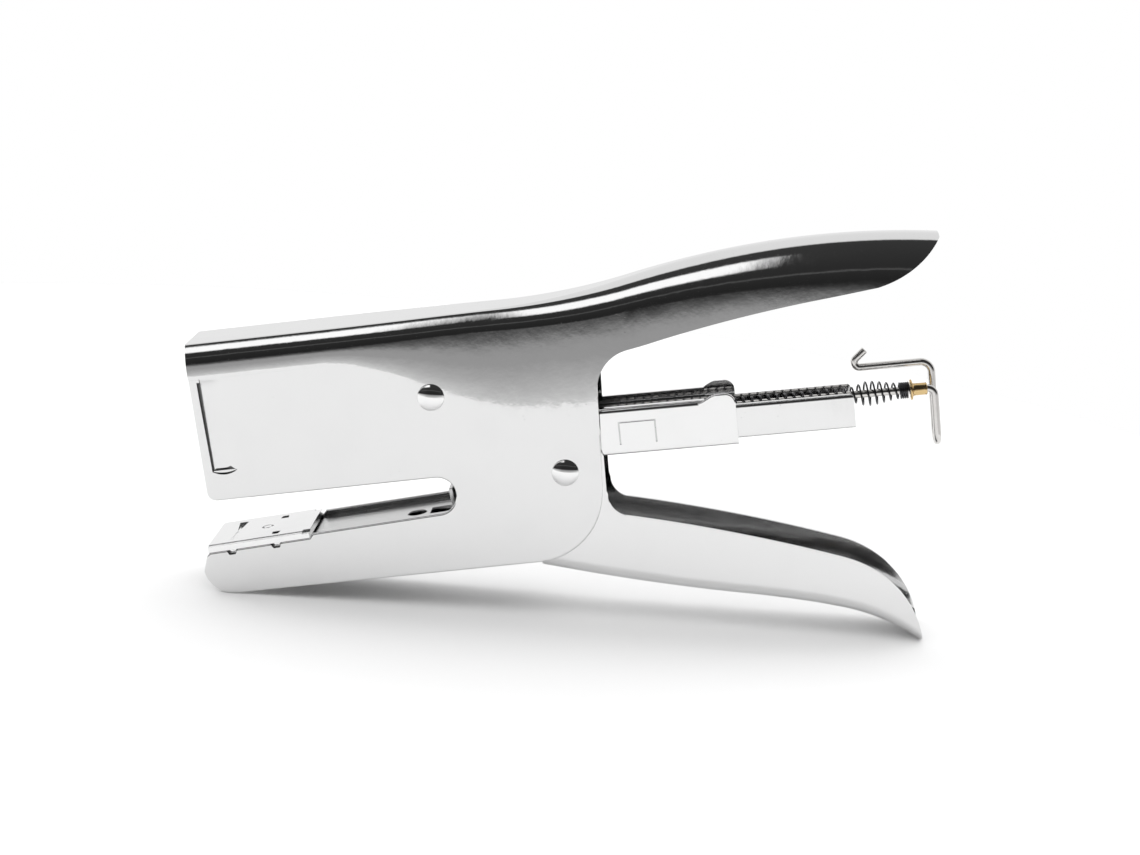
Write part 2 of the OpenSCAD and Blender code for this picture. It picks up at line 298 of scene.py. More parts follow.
def join(obj, *others):
    """Adds the meshes of others to obj, as separate shells."""
    bm = bmesh.new()
    bm.from_mesh(obj.data)
    for o in others:
        bm.from_mesh(o.data)
        bpy.data.objects.remove(o)
    bm.to_mesh(obj.data)
    bm.free()
    return obj


def merge_flat(bm, degrees):
    """Removes the edges between faces that meet at less than a small angle."""
    bmesh.ops.dissolve_limit(
        bm, angle_limit=math.radians(degrees), verts=bm.verts, edges=bm.edges, delimit=set()
    )


def cleaned(obj):
    """The object's mesh for editing, without the slivers and split faces that cuts leave."""
    bm = bmesh.new()
    bm.from_mesh(obj.data)
    bmesh.ops.remove_doubles(bm, verts=bm.verts, dist=0.01)
    bmesh.ops.dissolve_degenerate(bm, edges=bm.edges, dist=0.01)
    merge_flat(bm, 0.06)
    return bm


def soften(obj, width, segments=2):
    """Small round edges wherever two faces meet at more than 32 degrees."""
    bm = cleaned(obj)
    bm.to_mesh(obj.data)
    bm.free()
    m = obj.modifiers.new("bevel", "BEVEL")
    m.width, m.segments, m.limit_method = width, segments, "ANGLE"
    m.angle_limit = math.radians(32)
    m.use_clamp_overlap, m.miter_outer = True, "MITER_ARC"
    return evaluated(obj)


def round_rims(obj, width, segments, levels, stop):
    """Rounds the sharp edges of the flat side plates, whose faces lie at the levels of |y|.
    Behind the pivot the rounding ends at the height stop, before the plates begin to lean."""
    bm = cleaned(obj)
    everything = bm.verts[:] + bm.edges[:] + bm.faces[:]
    level = {"plane_co": (0, 0, stop), "plane_no": (0, 0, 1)}
    bmesh.ops.bisect_plane(bm, geom=everything, dist=0.001, **level)
    weight = bm.edges.layers.float.new("bevel_weight_edge")
    for edge in bm.edges:
        flat = any(all(abs(abs(v.co.y) - y) < 0.002 for v in edge.verts) for y in levels)
        flat = flat and all(v.co.x < 0 or v.co.z < stop + 0.01 for v in edge.verts)
        sharp = edge.is_manifold and edge.calc_face_angle() > math.radians(60)
        edge[weight] = 1.0 if flat and sharp else 0.0
    bm.to_mesh(obj.data)
    bm.free()
    m = obj.modifiers.new("bevel", "BEVEL")
    m.width, m.segments, m.limit_method = width, segments, "WEIGHT"
    m.use_clamp_overlap = False
    return evaluated(obj)


def finish_piece(obj, name, place, body, material, nodes=(), shade_angle=40):
    """Puts a piece drawn in a local frame into the row frame, shades it and hands it to its body."""
    obj.name = obj.data.name = name
    obj.data.transform(place)
    for face in obj.data.polygons:
        face.use_smooth = True
    obj.data.set_sharp_from_angle(angle=math.radians(shade_angle))
    m = obj.modifiers.new("normals", "WEIGHTED_NORMAL")
    m.keep_sharp, m.weight = True, 60
    evaluated(obj)
    obj.data.materials.clear()
    obj.data.materials.append(material)
    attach(obj, body)
    if nodes:
        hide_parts(*nodes)
    return obj


def lined(obj, place, material, inside):
    """Gives the faces whose middle lies inside(x, y, z) of the local frame a second material."""
    obj.data.materials.append(material)
    back = place.inverted()
    for face in obj.data.polygons:
        if inside(*(back @ face.center)):
            face.material_index = 1
    return obj


def refined(node, name, body, material, width):
    """A new piece with the CAD node's shape and small round edges, which stands for the node."""
    bm = bmesh.new()
    bm.from_mesh(frame["nodes"][node].data)
    bmesh.ops.scale(bm, vec=(1 / MM,) * 3, verts=bm.verts)
    bmesh.ops.remove_doubles(bm, verts=bm.verts, dist=0.001)
    merge_flat(bm, 0.5)
    obj = soften(to_object(name, bm), width)
    return finish_piece(obj, name, Matrix.Scale(MM, 4), body, material, [node])


# ---------- materials ----------

class Shader:
    """A Principled material with its node tree, and short calls to add nodes to it."""

    def __init__(self, name, colour, metallic, roughness):
        self.material = bpy.data.materials.new(name)
        self.material.use_nodes = True
        self.tree = self.material.node_tree
        self.surface = self.tree.nodes["Principled BSDF"]
        self.surface.inputs["Base Color"].default_value = (*colour, 1)
        self.surface.inputs["Metallic"].default_value = metallic
        self.surface.inputs["Roughness"].default_value = roughness
        self.place = self.add("ShaderNodeTexCoord").outputs["Object"]

    def add(self, kind, **settings):
        node = self.tree.nodes.new(kind)
        for key, value in settings.items():
            setattr(node, key, value)
        return node

    def link(self, source, target):
        self.tree.links.new(source, target)

    def stretched(self, stretch, turn):
        """Object coordinates turned by the angles and drawn out by a factor along each axis."""
        mapping = self.add("ShaderNodeMapping", vector_type="TEXTURE")
        mapping.inputs["Scale"].default_value = stretch
        mapping.inputs["Rotation"].default_value = [math.radians(a) for a in turn]
        self.link(self.place, mapping.inputs["Vector"])
        return mapping.outputs["Vector"]

    def noise(self, scale, detail=3.0, rough=0.5, stretch=(1, 1, 1), turn=(0, 0, 0)):
        """Noise with features about 1/scale metres across, drawn out by stretch along turned axes."""
        node = self.add("ShaderNodeTexNoise")
        node.inputs["Scale"].default_value = scale
        node.inputs["Detail"].default_value = detail
        node.inputs["Roughness"].default_value = rough
        self.link(self.stretched(stretch, turn), node.inputs["Vector"])
        return node.outputs["Fac"]

    def spots(self, scale, size, stretch=(1, 1, 1), turn=(0, 0, 0)):
        """1 inside small scattered spots, or scratches where stretched, and 0 elsewhere."""
        node = self.add("ShaderNodeTexVoronoi")
        node.inputs["Scale"].default_value = scale
        self.link(self.stretched(stretch, turn), node.inputs["Vector"])
        return self.ranged(node.outputs["Distance"], size * 0.5, size, 1.0, 0.0)

    def ranged(self, value, a, b, low, high):
        node = self.add("ShaderNodeMapRange")
        for key, x in zip(("From Min", "From Max", "To Min", "To Max"), (a, b, low, high)):
            node.inputs[key].default_value = x
        self.link(value, node.inputs["Value"])
        return node.outputs["Result"]

    def math(self, operation, a, b):
        node = self.add("ShaderNodeMath", operation=operation)
        for socket, x in zip(node.inputs, (a, b)):
            if isinstance(x, (int, float)):
                socket.default_value = x
            else:
                self.link(x, socket)
        return node.outputs["Value"]

    def mixed(self, factor, colour_a, colour_b):
        node = self.add("ShaderNodeMix", data_type="RGBA")
        sockets = [s for s in node.inputs if s.type == "RGBA"]
        self.link(factor, node.inputs[0])
        for socket, x in zip(sockets, (colour_a, colour_b)):
            if isinstance(x, tuple):
                socket.default_value = (*x, 1)
            else:
                self.link(x, socket)
        return [s for s in node.outputs if s.type == "RGBA"][0]

    def bump(self, height, distance, strength=1.0, under=None):
        node = self.add("ShaderNodeBump")
        node.inputs["Distance"].default_value = distance
        node.inputs["Strength"].default_value = strength
        self.link(height, node.inputs["Height"])
        if under:
            self.link(under, node.inputs["Normal"])
        return node.outputs["Normal"]

    def done(self, colour, roughness, normal):
        self.link(colour, self.surface.inputs["Base Color"])
        self.link(roughness, self.surface.inputs["Roughness"])
        self.link(normal, self.surface.inputs["Normal"])
        return self.material


PEEL_HEIGHT = 0.00002
LINE_HEIGHT = 0.000004
MARK_HEIGHT = -0.00001


def metal(name, colour, dark, rough, peel=0.3, brush=0.0, grain=(30, 1, 1), wear=0.0):
    """Plated or bare metal: a slight waviness of the plating, brush lines drawn out along the grain,
    fine scratches, scattered pits and a soft clouding of both colour and gloss.
    dark is its colour where it is dull; rough is (lowest, highest) roughness."""
    s = Shader(name, colour, 1.0, rough[0])
    cloud = s.noise(90, 4, 0.55)
    fine = s.noise(1500, 2, 0.6)
    lines = s.noise(900, 3, 0.6, grain, (0, -TILT, 0))
    scratch = s.spots(700, 0.045, (20, 1, 1), (0, 24, 31))
    scratch_b = s.spots(520, 0.04, (1, 1, 25), (17, -12, 0))
    pits = s.spots(330, 0.05)
    marks = s.math("MAXIMUM", pits, s.math("MULTIPLY", s.math("MAXIMUM", scratch, scratch_b), 0.5))
    clouding = s.ranged(cloud, 0.5, 0.8, 0.0, 0.12 + wear)
    dull = s.math("ADD", clouding, s.math("MULTIPLY", marks, 0.6))
    shade = s.mixed(dull, colour, dark)
    streaks = s.ranged(lines, 0.3, 0.7, 0.0, 0.5)
    gloss = s.ranged(s.math("ADD", streaks, dull), 0.0, 1.3, rough[0], rough[1])
    normal = s.bump(s.noise(260, 2, 0.5), PEEL_HEIGHT * peel)
    normal = s.bump(fine, LINE_HEIGHT * peel, 1.0, normal)
    if brush:
        normal = s.bump(lines, LINE_HEIGHT * brush, 1.0, normal)
    normal = s.bump(marks, MARK_HEIGHT, 0.6, normal)
    return s.done(shade, gloss, normal)


# stretch of the brush lines where they run up the plate instead of along it
UPRIGHT = (1, 1, 30)
CHROME = metal("shell_chrome", (0.73, 0.73, 0.73), (0.58, 0.58, 0.59), (0.05, 0.16), 1.0, 0.8, UPRIGHT)
HANDLE = metal("handle_chrome", (0.76, 0.76, 0.76), (0.64, 0.64, 0.64), (0.06, 0.16), 0.6, 0.4)
# darker, duller metal for the jaw floor plate, and as painted shade on the walls and floor of the
# staple outline pressed into the magazine
INNER_PLATE_AND_SHADE = metal("inner_plate", (0.62, 0.62, 0.62), (0.36, 0.36, 0.37), (0.2, 0.4), 0.8, 1.5, wear=0.2)
ANVIL = metal("anvil_nickel", (0.88, 0.88, 0.88), (0.66, 0.66, 0.66), (0.14, 0.3), 1.0, 0.6)
RIVET = metal("rivet_chrome", (0.85, 0.85, 0.85), (0.6, 0.6, 0.6), (0.05, 0.14), 0.3)
MAGAZINE = metal("magazine_chrome", (0.8, 0.8, 0.8), (0.6, 0.6, 0.6), (0.06, 0.18), 0.6, 0.5)
RAIL = metal("rail_chrome", (0.76, 0.76, 0.76), (0.5, 0.5, 0.5), (0.08, 0.2), 0.8, 1.0, UPRIGHT)
BRIGHT = metal("bright_steel", (0.6, 0.6, 0.6), (0.4, 0.4, 0.4), (0.12, 0.3), 0.4, 0.8)
HARD = metal("hardened_steel", (0.42, 0.42, 0.43), (0.26, 0.25, 0.25), (0.18, 0.4), 0.5, 1.0)
SPRING = metal("spring_steel", (0.33, 0.33, 0.34), (0.2, 0.2, 0.2), (0.2, 0.4), 0.3)
BLACK = metal("black_spring", (0.07, 0.07, 0.075), (0.03, 0.03, 0.03), (0.22, 0.4), 0.3)
# near-black metal for the walls and floor of the louver's sheared gaps: painted shade for their dark
# inside
GAP_SHADE = metal("painted_gap_shade", (0.16, 0.16, 0.16), (0.08, 0.08, 0.08), (0.3, 0.5), 0.4)
WIRE = metal("wire_steel", (0.66, 0.645, 0.63), (0.46, 0.43, 0.41), (0.16, 0.3), 0.5, 0.8)
BRASS = metal("eyelet_brass", (0.66, 0.48, 0.24), (0.42, 0.27, 0.12), (0.14, 0.3), 0.5, 0.4)


# ---------- folded shell with the upper handle ----------

def crown(x):
    """Height of the shell's top: flat over the magazine, hollow, then the hump of the handle."""
    if x < -12:
        return SHELL_TOP
    if x < 18:
        return SHELL_TOP + 147 - math.sqrt(147 ** 2 - (x + 12) ** 2)
    return SHELL_TOP + 7.35 - 190 + math.sqrt(190 ** 2 - (x - 58) ** 2)


def bent(bends):
    """Points of a sheet that starts straight up and turns inward: bends are (radius, degrees)."""
    steps = 8
    inward = up = turned_so_far = 0.0
    points = [(inward, up)]
    for radius, degrees in bends:
        for i in range(steps):
            a = math.radians(turned_so_far + degrees * i / steps)
            b = math.radians(turned_so_far + degrees * (i + 1) / steps)
            inward += radius * (math.cos(a) - math.cos(b))
            up += radius * (math.sin(b) - math.sin(a))
            points.append((inward, up))
        turned_so_far += degrees
    return points


def fold_section(x, half, top, bends, floor):
    """One sheet surface across the shell: up the far plate, over both folds, down the near plate."""
    points = bent(bends)
    start = top - points[-1][1]
    side = [(half, floor)] + [(half - inward, start + up) for inward, up in points]
    return [(x, -y, z) for y, z in side] + [(x, y, z) for y, z in reversed(side)]


def fold_bends(x, inset):
    """The fold at a station: the plate leans in, then turns with a gentle and a tight radius.
    The turn is tight over the jaws and swells into the round grip."""
    lean = 10
    swell = ease((x + 22) / 62)
    grip = ease((x - 15) / 50)
    height = 3.5 + 20 * ease((x + 50) / 46) - 10 * grip
    gentle = 7.5 + 2.7 * swell + 3.8 * grip
    tight = 0.9 + 6.0 * swell - 0.7 * grip
    bends = [(height / math.radians(lean), lean), (gentle, 45 - lean), (tight, 45)]
    return [(max(radius - inset, 0.3), degrees) for radius, degrees in bends]


def on_jaw(x, z):
    """The point x ahead of the jaw's root and z above its edge, in the tool frame."""
    cos, sin = math.cos(math.radians(JAW_SLOPE)), math.sin(math.radians(JAW_SLOPE))
    return THROAT_X - x * cos - z * sin, JAW_EDGE - x * sin + z * cos


def shell_outline():
    """Side view of the shell below its top, which the folded sheet is trimmed to."""
    lip = [(54.3, -2.4), (53.9, -1.5), (53.2, -0.9), (30, -0.9), (29.6, -0.5), (29.2, 0)]
    return (
        arc(SHELL_FRONT + 2, THROAT_Z + 2, 2, 270, 180, 10)
        + [(SHELL_FRONT, 60), (HANDLE_END + 0.04, 60)]
        + arc(HANDLE_END - 19, 57.6, 24.6, -39.3, -79.3, 24)
        + arc(87.35, -287.2, 320.7, 94.5, 102, 16)
        + arc(18, 17.1, 8.8, 102, 176.6, 20)
        + [(8.2, 1.6)]
        + arc(-8.2, JAW_BOTTOM + 15.8, 15.8, -3.4, -90, 30)
        + arc(-77.5, JAW_BOTTOM + 6.5, 6.5, 270, 186, 16)
        + [on_jaw(x, z) for x, z in lip]
        + arc(THROAT_X, THROAT_Z - THROAT_R, THROAT_R, -87.15, 90, 28)
    )


# the driver's guide louver in each side plate: its edges, where its floor turns level, its depth
# and the height over which it fades out at the top
LOUVER = {"front": -78.0, "flat": -75.0, "rear": -72.8, "bottom": 8.8, "top": 30.0}
LOUVER_DEPTH = 1.1
LOUVER_FADE = 1.6


def louver_depth(x, z):
    """How far the louver is pressed in: flat along its open front, ramped at the back and top."""
    along = min(1.0, max(0.0, (LOUVER["rear"] - x) / (LOUVER["rear"] - LOUVER["flat"])))
    up = ease((LOUVER["top"] - z) / LOUVER_FADE)
    return LOUVER_DEPTH * (0.6 * along + 0.4 * ease(along)) * up


def louver_solid(outside, offset):
    """The space between a plane at y = outside and the louver's surface, moved in by offset."""
    xs = spread(LOUVER["front"], LOUVER["rear"], 14)
    zs = spread(LOUVER["bottom"], LOUVER["top"], 26)
    bm = bmesh.new()
    y = SHELL_HALF - offset
    press = [[bm.verts.new((x, y - louver_depth(x, z), z)) for z in zs] for x in xs]
    flat = [[bm.verts.new((x, outside, z)) for z in zs] for x in xs]
    nx, nz = len(xs), len(zs)
    for grid in (press, flat):
        for i in range(nx - 1):
            for k in range(nz - 1):
                bm.faces.new((grid[i][k], grid[i + 1][k], grid[i + 1][k + 1], grid[i][k + 1]))
    rim = [(i, 0) for i in range(nx)] + [(nx - 1, k) for k in range(1, nz)]
    rim += [(i, nz - 1) for i in range(nx - 2, -1, -1)] + [(0, k) for k in range(nz - 2, 0, -1)]
    for (i, k), (j, m) in zip(rim, rim[1:] + rim[:1]):
        bm.faces.new((press[i][k], press[j][m], flat[j][m], flat[i][k]))
    return to_object("cutter", bm)


# thin floor left under the louver's sheared gaps, so that no white studio shines through them
GAP_FLOOR = 0.1


def louver_side_gap():
    """Sheared gap along the louver's open side, widest at its top."""
    front, foot, top = LOUVER["front"], LOUVER["bottom"] - 0.2, LOUVER["top"] - 0.9
    rear, widest = front + 0.04, front - 0.62
    return [(front - 0.3, foot), (rear, foot), (rear, top), (widest, top), (widest, top - 3)]


def louver_end_gap():
    """Sheared gap at the louver's foot, bowed like the pressed strip's edge."""
    x0, x1 = LOUVER["front"] - 0.3, LOUVER["rear"] + 0.1
    z = LOUVER["bottom"] - 0.05
    steps = spread(0, 1, 12)
    low = [(x0 + (x1 - x0) * k, z - 0.14 - 0.85 * math.sin(math.pi * k) ** 0.8) for k in steps]
    high = [(x0 + (x1 - x0) * k, z - 0.5 * math.sin(math.pi * k) ** 0.8) for k in steps]
    return low + high[::-1]


def in_shaded_louver_gap(x, y, z):
    """True on the walls and the floor of the two sheared gaps, which take a near-black metal as painted
    shade.
    """
    if not SHELL_IN + 0.02 < abs(y) < SHELL_HALF - 0.02:
        return False
    front, foot = LOUVER["front"], LOUVER["bottom"]
    beside = front - 0.7 < x < front + 0.08 and foot - 0.5 < z < LOUVER["top"]
    below = front - 0.5 < x < LOUVER["rear"] + 0.3 and foot - 1.2 < z < foot + 0.02
    return beside or below


RIM_R = 0.42
RIM_STOP = 7.5


def shell():
    """One folded sheet: both side plates with the throat and the jaw, the back and the handle."""
    stations = spread(-84, -16, 10) + spread(-14, 90, 58)
    sections = []
    for x in stations:
        top = crown(x)
        outer = fold_section(x, SHELL_HALF, top, fold_bends(x, 0), -30)
        inner = fold_section(x, SHELL_IN, top - SHEET, fold_bends(x, SHEET), -30)
        sections.append((outer, inner))
    obj = strip_tunnel(sections, "shell")
    combine(obj, prism(shell_outline(), -20, 20), "INTERSECT")
    round_rims(obj, RIM_R, 4, (SHELL_HALF, SHELL_IN), RIM_STOP)
    boss = louver_solid(SHELL_IN + 0.4, SHEET)
    pocket = louver_solid(SHELL_HALF + 2, 0.0)
    fuse(obj, mirrored(boss), boss)
    cut(obj, mirrored(pocket), pocket)
    for side in (-1, 1):
        y0, y1 = span(side, SHELL_IN + GAP_FLOOR, SHELL_HALF + 1)
        cut(obj, prism(louver_side_gap(), y0, y1), prism(louver_end_gap(), y0, y1))
    jaw_place = turned(Matrix.Translation((THROAT_X, 0, JAW_EDGE)), JAW_SLOPE)
    for x in CRIMPS:
        outline = [(-x - 1.6, -0.6), (-x - 0.7, -2.0), (-x + 0.7, -2.0), (-x + 1.6, -0.6)]
        notch = prism(outline, -12, 12)
        notch.data.transform(jaw_place)
        cut(obj, notch)
    finish_piece(obj, "shell_with_handle", TOOL, "frame", CHROME, ["frame_shell"])
    # the gaps' walls and floor get the near-black metal, painted shade
    return lined(obj, TOOL, GAP_SHADE, in_shaded_louver_gap)


# ---------- lower handle ----------

def lever_floor():
    """Underside of the lower handle, from its heel to its tip."""
    return (
        arc(140.4, 453.2, 497.5, 253, 257.5, 14)
        + arc(-18.3, -293.6, 266, 77.6, 74.4, 10)
        + arc(44.7, -80.7, 43.9, 73, 48, 18)
    )


def lever_outline():
    """Side view of the lever, open below the handle so that the folded floor stays whole."""
    return (
        [(-9.5, 4.6), (-65.4, 16.3)]
        + arc(-65.9, 18.8, 2.5, 260, 180, 8)
        + arc(-63.9, 25.5, 4.5, 180, 90, 10)
        + [(-43, 30), (-32.5, 18), (-24, 16.3), (-8, 12.5)]
        + arc(0, 0, 9, 100, 15, 14)
        + [(8.4, -5.6)]
        + arc(13.6, -7, 5, 175, 250, 10)
        + arc(-86.2, -405.5, 405.9, 76, 69, 16)
        + arc(50.2, -50.2, 25.3, 68, 42, 12)
        + arc(52, -48.6, 22.84, 40, 3, 18)
        + [(74.07, -48.12), (73.9, -60), (-7.9, -60), (-7.9, -19)]
    )


def channel_section(x, half, bottom, radius, top):
    """One surface of an upright U: down the far side, round both corners and up the near side."""
    side = [(half, top), (half, bottom + radius + 2)]
    side += arc(half - radius, bottom + radius, radius, 0, -90, 10)
    return [(x, -y, z) for y, z in side] + [(x, y, z) for y, z in reversed(side)]


def lever():
    """Folded channel with a slot for the driver's pin, and a bridge that its spring bears on."""
    floor = lever_floor()
    stations = spread(-70, -12, 6) + spread(-8, 78, 50)
    sections = []
    for x in stations:
        z = interpolate(floor, x)
        outer = channel_section(x, LEVER_HALF, z, LEVER_FOLD, 36)
        inner = channel_section(x, LEVER_IN, z + SHEET, LEVER_FOLD - SHEET, 36)
        sections.append((outer, inner))
    obj = strip_tunnel(sections, "lever")
    combine(obj, prism(lever_outline(), -20, 20), "INTERSECT")
    x, z = PIN_AT
    r = PIN_D / 2 + 0.35
    slot = arc(x, z, r, 90, 270, 14) + arc(x + PIN_TRAVEL, z, r, -90, 90, 14)
    cut(obj, prism(slot, -20, 20))
    half = LEVER_IN + 0.3
    bridge = block(-52.5, -44, -half, half, 29, 30, "bridge")
    fuse(bridge, block(-55.4, -50, -5.4, 5.4, 29, 30))
    soften(obj, 0.26, 3)
    join(obj, soften(bridge, 0.2))
    return finish_piece(
        obj, "lower_handle_piece", TOOL, "lever", HANDLE, ["lower_handle"]
    )


# ---------- anvil ----------

def wedge(low, high):
    """A solid between two quads of four points each, the low one first."""
    bm = bmesh.new()
    a, b = [bm.verts.new(p) for p in low], [bm.verts.new(p) for p in high]
    bm.faces.new(a)
    bm.faces.new(b)
    for i in range(4):
        j = (i + 1) % 4
        bm.faces.new((a[i], a[j], b[j], b[i]))
    return to_object("cutter", bm)


def upright_disc(x, y, z0, z1, r):
    sides = 24
    angles = [2 * math.pi * k / sides for k in range(sides)]
    ring = [(x + r * math.cos(a), y + r * math.sin(a)) for a in angles]
    return skin([[(u, v, z) for u, v in ring] for z in (z0, z1)], "cutter")


def anvil():
    """Plate crimped on the jaw, with two tapered clinch pockets that curl the staple's legs."""
    top, out = 0.6, SHELL_HALF - 0.2
    obj = block(-53.4, -30, -out, out, -0.9, top, "anvil")
    for side in (-1, 1):
        near, far = side * 0.6, side * 7.0
        shallow, deep, above = top - 0.12, top - 0.7, top + 0.4
        floor = [(-48.35, near, shallow), (-47.85, near, shallow)]
        floor += [(-47.3, far, deep), (-48.9, far, deep)]
        mouth = [(-48.5, near, above), (-47.7, near, above)]
        mouth += [(-46.9, far, above), (-49.3, far, above)]
        hole = [(-39.1, side * 5.3), (-37.3, side * 5.3), (-37.5, side * 7.2), (-38.9, side * 7.2)]
        cut(
            obj,
            wedge(floor, mouth),
            wedge([(x, y, -1.5) for x, y in hole], [(x, y, 1.5) for x, y in hole]),
            block(-60, -20, *span(side, 8.5, 12), top - 0.16, top + 1),
            block(-31.6, -29, *span(side, 7.6, 12), top - 0.4, top + 1),
        )
    ring = cut(upright_disc(-41.2, 0, top - 0.3, top + 0.5, 1.35), upright_disc(-41.2, 0, -2, 3, 0.85))
    cut(obj, ring)
    soften(obj, 0.13, 2)
    for side in (-1, 1):
        for x in CRIMPS:
            tab = [(-x - 1.1, -0.8), (-x - 0.55, -1.7), (-x + 0.55, -1.7), (-x + 1.1, -0.8)]
            join(obj, soften(prism(tab, *span(side, SHELL_IN - 0.6, SHELL_IN - 0.1)), 0.12))
    return finish_piece(obj, "anvil_plate_piece", JAW, "frame", ANVIL, ["anvil_plate"])


# ---------- rivets ----------

def rivet(name, at, node):
    """Two domed heads on one shank; each head stands on a thin rim."""
    plate = SHELL_HALF
    rise = HEAD_H - 0.15
    r = (HEAD_R ** 2 + rise ** 2) / (2 * rise)
    reach = math.degrees(math.asin(HEAD_R / r))
    dome = [
        (r * math.sin(math.radians(a)), plate + HEAD_H - r + r * math.cos(math.radians(a)))
        for a in spread(0, reach - 3, 14)
    ]
    rim = [(HEAD_R - 0.02, plate + 0.2), (HEAD_R, plate + 0.12), (HEAD_R - 0.04, plate)]
    half = dome + rim + [(SHANK_R, plate), (SHANK_R, plate - 0.4)]
    profile = half + [(p, -y) for p, y in reversed(half)]
    obj = lathe(profile, name)
    place = TOOL @ Matrix.Translation((at[0], 0, at[1]))
    return finish_piece(obj, name, place, "frame", RIVET, [node], 50)


# ---------- magazine and rail ----------

def lipped_section(x, half, z0, z1, t, lip, r, r_low):
    """Closed section of a channel whose top edges are rolled in to a lip."""
    outer = [(lip, z1)] + arc(half - r, z1 - r, r, 90, 0, 8)
    outer += arc(half - r_low, z0 + r_low, r_low, 0, -90, 6)
    ri, rl = max(r - t, 0.15), max(r_low - t, 0.1)
    inner = arc(half - t - rl, z0 + t + rl, rl, -90, 0, 6)
    inner += arc(half - t - ri, z1 - t - ri, ri, 0, 90, 8)
    inner += [(lip, z1 - t)]
    ring = outer + [(-y, z) for y, z in reversed(outer)] + [(-y, z) for y, z in reversed(inner)] + inner
    return [(x, y, z) for y, z in ring]


def lipped_channel(stations, half, z0, z1, t, r, r_low, name):
    """The channel as a closed mesh through (x, lip) stations, with strips across its ends."""
    bm = bmesh.new()
    rows = []
    for x, lip in stations:
        rows.append([bm.verts.new(p) for p in lipped_section(x, half, z0, z1, t, lip, r, r_low)])
    n = len(rows[0])
    for a, b in zip(rows, rows[1:]):
        for i in range(n):
            j = (i + 1) % n
            bm.faces.new((a[i], a[j], b[j], b[i]))
    # the outer surface is the first half of a ring, and the inner one mirrors it
    for row in (rows[0], rows[-1]):
        for i in range(n // 2 - 1):
            bm.faces.new((row[i], row[i + 1], row[n - 2 - i], row[n - 1 - i]))
    return to_object(name, bm)


# rear end, foot, width, leg and line width of the outline pressed into the magazine's sides
STAPLE_MARK = (12.5, 4.6, 8.0, 5.2, 0.36)


def staple_outline(obj):
    """A plain outline of a staple pressed into each side of the magazine."""
    x0, z0, width, leg, line = STAPLE_MARK
    for side in (-1, 1):
        y0, y1 = span(side, MAG_HALF - 0.25, MAG_HALF + 1)
        cut(
            obj,
            block(x0, x0 + line, y0, y1, z0, z0 + leg),
            block(x0 + width, x0 + width + line, y0, y1, z0, z0 + leg),
            block(x0, x0 + width + line, y0, y1, z0 + leg - line, z0 + leg),
        )


def in_shaded_staple_outline(x, y, z):
    """True on the walls and the floor of the pressed outline, which get the darker inner metal as
    painted shade.
    """
    x0, z0, width, leg, line = STAPLE_MARK
    return (
        MAG_HALF - 0.27 < abs(y) < MAG_HALF - 0.02
        and x0 - 0.1 < x < x0 + width + line + 0.1
        and z0 - 0.1 < z < z0 + leg + 0.1
    )


def magazine():
    """Channel open at the nose, with ears at its tail and hinge lugs round the pivot."""
    stations = [(-78, 3.9), (-22, 3.9), (-20, 5.4), (MAG_TAIL, 5.4)]
    obj = lipped_channel(stations, MAG_HALF, MAG_Z, MAG_TOP, MAG_T, 1.1, 0.7, "magazine")
    mag_in = MAG_HALF - MAG_T
    cut(obj, block(-80, -74.5, -mag_in, mag_in, MAG_Z - 1, MAG_TOP + 1))
    lip_end = MAG_TAIL - 6.8
    cut(obj, block(lip_end, MAG_TAIL + 1, -mag_in + 0.01, mag_in - 0.01, MAG_TOP - 1.3, MAG_TOP + 1))
    r = 2.2
    centre_x, centre_z = MAG_TAIL - r, MAG_TOP - 1.15
    foot_x, foot_z = MAG_TAIL - 8.4, MAG_TOP - 2.4
    rise = [(foot_x + 4.2 * k, MAG_TOP - 0.5 + 1.55 * ease(k)) for k in spread(0, 1, 10)]
    back = arc(centre_x, centre_z, r, 90, 0, 12)
    ear = [(foot_x, foot_z)] + rise + back + [(MAG_TAIL, foot_z)]
    hinge = [(-4, MAG_Z + 1)] + arc(0, 0, 4, 180, 360, 24) + [(4, MAG_Z + 1)]
    for y0, y1 in ((mag_in, MAG_HALF), (-MAG_HALF, -mag_in)):
        fuse(obj, soften(prism(ear, y0, y1), 0.3, 3), prism(hinge, y0, y1))
    behind, above = MAG_TAIL + 2, MAG_TOP + 3
    trim = [(behind, centre_z), (behind, above), (centre_x, above)] + back
    cut(obj, prism(trim, -9, 9))
    soften(obj, 0.12, 2)
    staple_outline(obj)
    finish_piece(
        obj, "magazine_channel_piece", MAG, "magazine", MAGAZINE, ["magazine_channel"]
    )
    # the outline's walls and floor get the darker inner metal: painted shade in the pressed recess
    return lined(obj, MAG, INNER_PLATE_AND_SHADE, in_shaded_staple_outline)


def rail():
    """The channel that the staples sit on, with its tail's top corners rounded off."""
    stations = [(RAIL_TAIL - RAIL_L, 4.6), (RAIL_TAIL, 4.6)]
    obj = lipped_channel(stations, RAIL_HALF, RAIL_Z, RAIL_TOP, RAIL_T, 0.8, 0.6, "rail")
    r = 0.9
    corner = [(RAIL_TAIL + 1, RAIL_TOP - r)] + arc(RAIL_TAIL - r, RAIL_TOP - r, r, 0, 90, 8)
    corner += [(RAIL_TAIL - r, RAIL_TOP + 1), (RAIL_TAIL + 1, RAIL_TOP + 1)]
    cut(obj, prism(corner, -9, 9))
    soften(obj, 0.2, 3)
    return finish_piece(obj, "staple_rail", MAG, "rail", RAIL, ["core_rail"])


# ---------- pull wire, eyelet and springs ----------

